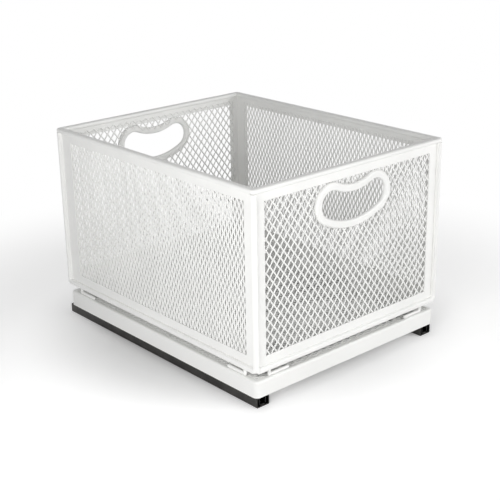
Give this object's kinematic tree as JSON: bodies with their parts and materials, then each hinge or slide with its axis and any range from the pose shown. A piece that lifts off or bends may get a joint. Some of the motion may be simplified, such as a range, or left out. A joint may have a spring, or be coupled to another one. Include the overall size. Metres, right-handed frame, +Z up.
{
  "type": "pull out cabinet basket",
  "caption": "Rectangular white mesh basket with grip holes, lifting off a low mesh tray that pulls out of a cabinet on two flat ball-bearing slides screwed to the floor.",
  "frame": {"origin": "bottom centre of the whole part's box, on the cabinet floor under the slides", "axes": "+X to the right across the cabinet, -Y towards the user (the way the tray pulls out), +Z up"},
  "size_m": [0.3, 0.373, 0.2506],
  "materials": {
    "white_coated_frame": "satin",
    "white_coated_mesh": "satin",
    "white_coated_wire": "satin",
    "white_coated_tray": "satin",
    "black_rail_steel": "satin",
    "black_inner_rail_steel": "satin",
    "zinc_cage_steel": "satin",
    "bearing_steel": "polished",
    "rivet_steel": "satin",
    "buffer_rubber": "matt"
  },
  "bodies": {
    "slide_base": {"left_outer_rail": "black_rail_steel", "right_outer_rail": "black_rail_steel", "left_rear_buffer": "buffer_rubber", "right_rear_buffer": "buffer_rubber"},
    "left_cage": {"left_ball_cage": "zinc_cage_steel", "left_balls": "bearing_steel"},
    "right_cage": {"right_ball_cage": "zinc_cage_steel", "right_balls": "bearing_steel"},
    "tray": {"left_inner_rail": "black_inner_rail_steel", "right_inner_rail": "black_inner_rail_steel", "left_rivets": "rivet_steel", "right_rivets": "rivet_steel", "tray_frame": "white_coated_tray", "tray_deck_mesh": "white_coated_mesh", "tray_front_cross_bar": "white_coated_tray", "tray_rear_cross_bar": "white_coated_tray"},
    "basket": {"basket_rim": "white_coated_frame", "front_wall_frame": "white_coated_frame", "back_wall_frame": "white_coated_frame", "left_wall_frame": "white_coated_frame", "right_wall_frame": "white_coated_frame", "front_wall_mesh": "white_coated_mesh", "back_wall_mesh": "white_coated_mesh", "left_wall_mesh": "white_coated_mesh", "right_wall_mesh": "white_coated_mesh", "floor_frame": "white_coated_frame", "floor_mesh": "white_coated_mesh", "front_grip_collar": "white_coated_frame", "back_grip_collar": "white_coated_frame", "front_left_foot": "white_coated_wire", "front_right_foot": "white_coated_wire", "back_left_foot": "white_coated_wire", "back_right_foot": "white_coated_wire"}
  },
  "joints": [
    {"name": "tray_slide", "type": "slide", "parent": "slide_base", "child": "tray", "axis": [0, -1, 0], "range_m": [0, 0.265]},
    {"name": "left_cage_slide", "type": "slide", "parent": "slide_base", "child": "left_cage", "axis": [0, -1, 0], "range_m": [0, 0.1325]},
    {"name": "right_cage_slide", "type": "slide", "parent": "slide_base", "child": "right_cage", "axis": [0, -1, 0], "range_m": [0, 0.1325]},
    {"name": "basket_lift", "type": "slide", "parent": "tray", "child": "basket", "axis": [0, 0, 1], "range_m": [0, 0.12]}
  ],
  "couplings": [
    {"joint": "left_cage_slide", "follows": "tray_slide", "ratio": 0.5},
    {"joint": "right_cage_slide", "follows": "tray_slide", "ratio": 0.5}
  ]
}
